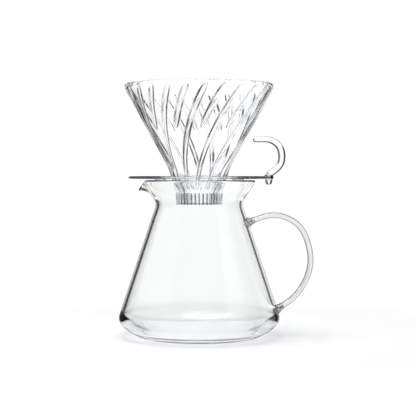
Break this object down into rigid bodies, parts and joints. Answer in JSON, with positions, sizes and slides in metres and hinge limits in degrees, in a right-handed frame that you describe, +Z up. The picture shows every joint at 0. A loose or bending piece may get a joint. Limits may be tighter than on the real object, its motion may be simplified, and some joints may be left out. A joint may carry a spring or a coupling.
{
  "type": "pour-over coffee dripper",
  "caption": "Ribbed glass pour-over dripper cone in a clear plastic base with a hooked handle, seated on a glass server with a pouring lip and a strap handle.",
  "frame": {"origin": "centre of the server's foot, on the table", "axes": "+Z up along the common axis of server and dripper, +X to both handles, -X to the server's pouring lip"},
  "size_m": [0.1518, 0.125, 0.196],
  "materials": {
    "server_glass": "fire-polished clear borosilicate glass",
    "weld_glass": "fused clear glass, slightly wavy",
    "cone_glass": "pressed clear glass",
    "clear_plastic": "clear moulded copolyester, glossy",
    "silicone": "translucent silicone, satin"
  },
  "bodies": {
    "server": {"server_body": "server_glass", "server_handle": "server_glass", "handle_upper_weld": "weld_glass", "handle_lower_weld": "weld_glass"},
    "dripper_base": {"base_plate": "clear_plastic", "dripper_handle": "clear_plastic"},
    "cone": {"dripper_cone": "cone_glass"},
    "gasket": {"neck_gasket": "silicone"},
    "ring": {"lock_ring": "clear_plastic"}
  },
  "joints": [
    {"name": "dripper_lift", "type": "slide", "parent": "server", "child": "dripper_base", "axis": [0, 0, 1], "range_m": [0, 0.06]},
    {"name": "cone_lift", "type": "slide", "parent": "dripper_base", "child": "cone", "axis": [0, 0, 1], "range_m": [0, 0.03]},
    {"name": "gasket_drop", "type": "slide", "parent": "dripper_base", "child": "gasket", "axis": [0, 0, -1], "range_m": [0, 0.0065]},
    {"name": "ring_turn", "type": "hinge", "parent": "gasket", "child": "ring", "pos_m": [0, 0, 0.107], "axis": [0, 0, -1], "range_deg": [0, 1080]}
  ],
  "couplings": [
    {"joint": "gasket_drop", "follows": "ring_turn", "m_per_rad": 0.00031831}
  ]
}
